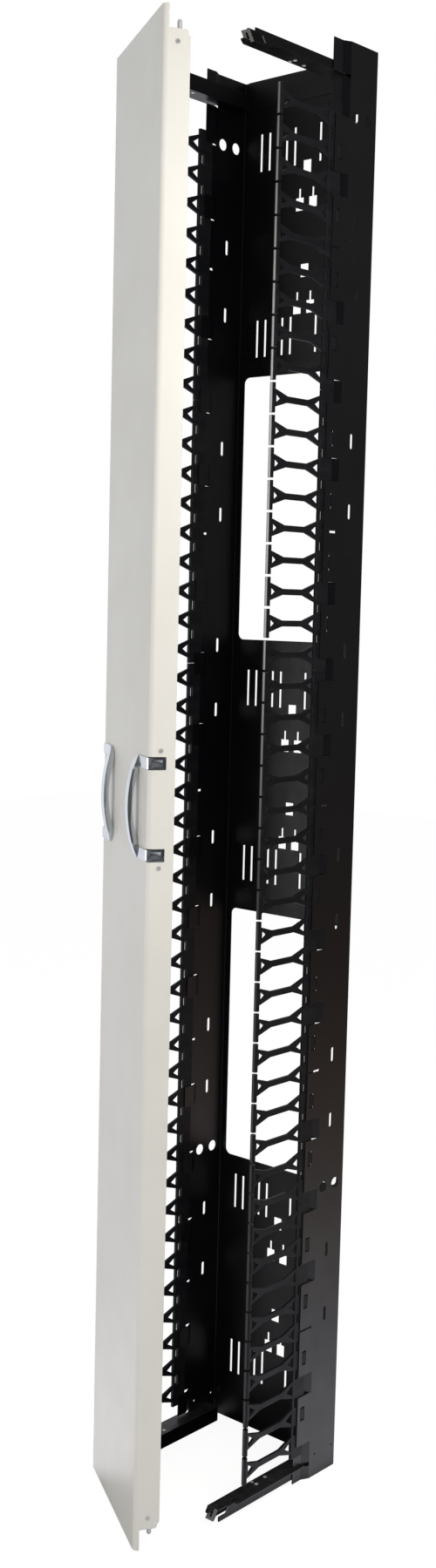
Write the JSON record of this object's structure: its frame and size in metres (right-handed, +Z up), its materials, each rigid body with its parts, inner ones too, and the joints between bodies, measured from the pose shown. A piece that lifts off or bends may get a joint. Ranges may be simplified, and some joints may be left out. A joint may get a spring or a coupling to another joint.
{
  "type": "vertical cable manager",
  "caption": "Tall rack-side cable manager: a folded black steel channel with rows of plastic cable fingers, latch arms and a cream door that hinges from either edge by handle-worked pins.",
  "frame": {"origin": "middle of the rear face of the channel, at half its height and half its width", "axes": "+X to the right as seen from the front, +Y towards the rear (the door faces -Y), +Z up"},
  "size_m": [0.2648, 0.3989, 2.1336],
  "materials": {
    "black_coat": "semi-gloss powder coat",
    "black_moulding": "satin",
    "cream_paint": "fine satin paint",
    "zinc_steel": "zinc plated",
    "grey_moulding": "satin",
    "chrome": "polished"
  },
  "bodies": {
    "frame": {"spine": "black_coat", "comb_left_1": "black_moulding", "comb_left_2": "black_moulding", "comb_left_3": "black_moulding", "comb_left_4": "black_moulding", "comb_left_5": "black_moulding", "comb_right_1": "black_moulding", "comb_right_2": "black_moulding", "comb_right_3": "black_moulding", "comb_right_4": "black_moulding", "comb_right_5": "black_moulding", "arm_bottom_left": "black_coat", "arm_bottom_right": "black_coat", "arm_top_left": "black_coat", "arm_top_right": "black_coat"},
    "door": {"door_panel": "cream_paint", "door_screws": "zinc_steel", "pin_guide_bottom_left": "grey_moulding", "pin_guide_bottom_right": "grey_moulding", "pin_guide_top_left": "grey_moulding", "pin_guide_top_right": "grey_moulding", "handle_carrier_left": "grey_moulding", "handle_carrier_right": "grey_moulding"},
    "handle_left_body": {"handle_left": "chrome"},
    "handle_right_body": {"handle_right": "chrome"},
    "rod_bottom_left_body": {"rod_bottom_left": "zinc_steel"},
    "rod_bottom_right_body": {"rod_bottom_right": "zinc_steel"},
    "rod_top_left_body": {"rod_top_left": "zinc_steel"},
    "rod_top_right_body": {"rod_top_right": "zinc_steel"}
  },
  "joints": [
    {"name": "door_hinge", "type": "hinge", "parent": "frame", "child": "door", "pos_m": [-0.11, -0.255, 0], "axis": [0, 0, 1], "range_deg": [-64.2, 30.8]},
    {"name": "handle_left_pull", "type": "slide", "parent": "door", "child": "handle_left_body", "axis": [-0.512, -0.859, 0], "range_m": [0, 0.007], "stiffness_N_per_m": 400, "springref_m": -0.004},
    {"name": "handle_right_pull", "type": "slide", "parent": "door", "child": "handle_right_body", "axis": [-0.512, -0.859, 0], "range_m": [0, 0.007], "stiffness_N_per_m": 400, "springref_m": -0.004},
    {"name": "rod_bottom_left_slide", "type": "slide", "parent": "door", "child": "rod_bottom_left_body", "axis": [0, 0, 1], "range_m": [0, 0.0105]},
    {"name": "rod_bottom_right_slide", "type": "slide", "parent": "door", "child": "rod_bottom_right_body", "axis": [0, 0, 1], "range_m": [0, 0.0105]},
    {"name": "rod_top_left_slide", "type": "slide", "parent": "door", "child": "rod_top_left_body", "axis": [0, 0, -1], "range_m": [0, 0.0105]},
    {"name": "rod_top_right_slide", "type": "slide", "parent": "door", "child": "rod_top_right_body", "axis": [0, 0, -1], "range_m": [0, 0.0105]}
  ],
  "couplings": [
    {"joint": "rod_bottom_left_slide", "follows": "handle_left_pull", "ratio": 1.5},
    {"joint": "rod_bottom_right_slide", "follows": "handle_right_pull", "ratio": 1.5},
    {"joint": "rod_top_left_slide", "follows": "handle_left_pull", "ratio": 1.5},
    {"joint": "rod_top_right_slide", "follows": "handle_right_pull", "ratio": 1.5}
  ]
}
